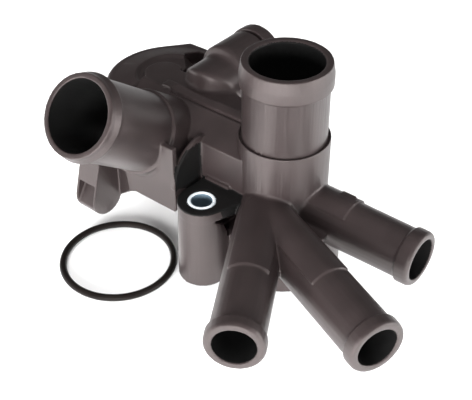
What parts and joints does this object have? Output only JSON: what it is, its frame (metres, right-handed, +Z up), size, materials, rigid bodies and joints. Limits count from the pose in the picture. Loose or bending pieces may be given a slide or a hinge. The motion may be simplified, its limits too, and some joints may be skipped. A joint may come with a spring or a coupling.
{
  "type": "coolant housing",
  "caption": "Moulded coolant housing with a round plug base, a capped duct, beaded hose spigots in several directions, steel-bushed bolt bosses and a loose seal ring.",
  "frame": {"origin": "bottom centre of the bounding box, on the plane that the plug's lip stands on", "axes": "+X along the duct from the capped end towards the side spigot, +Y towards the rear spigot, +Z up, away from the engine face"},
  "size_m": [0.1724, 0.1282, 0.0944],
  "materials": {
    "nylon": "satin glass-filled moulding, fine grain",
    "steel": "zinc-plated turned steel",
    "rubber": "smooth black rubber"
  },
  "bodies": {
    "root": {"housing": "nylon", "front_bush": "steel", "rear_bush": "steel", "seal_ring": "rubber"}
  },
  "joints": []
}
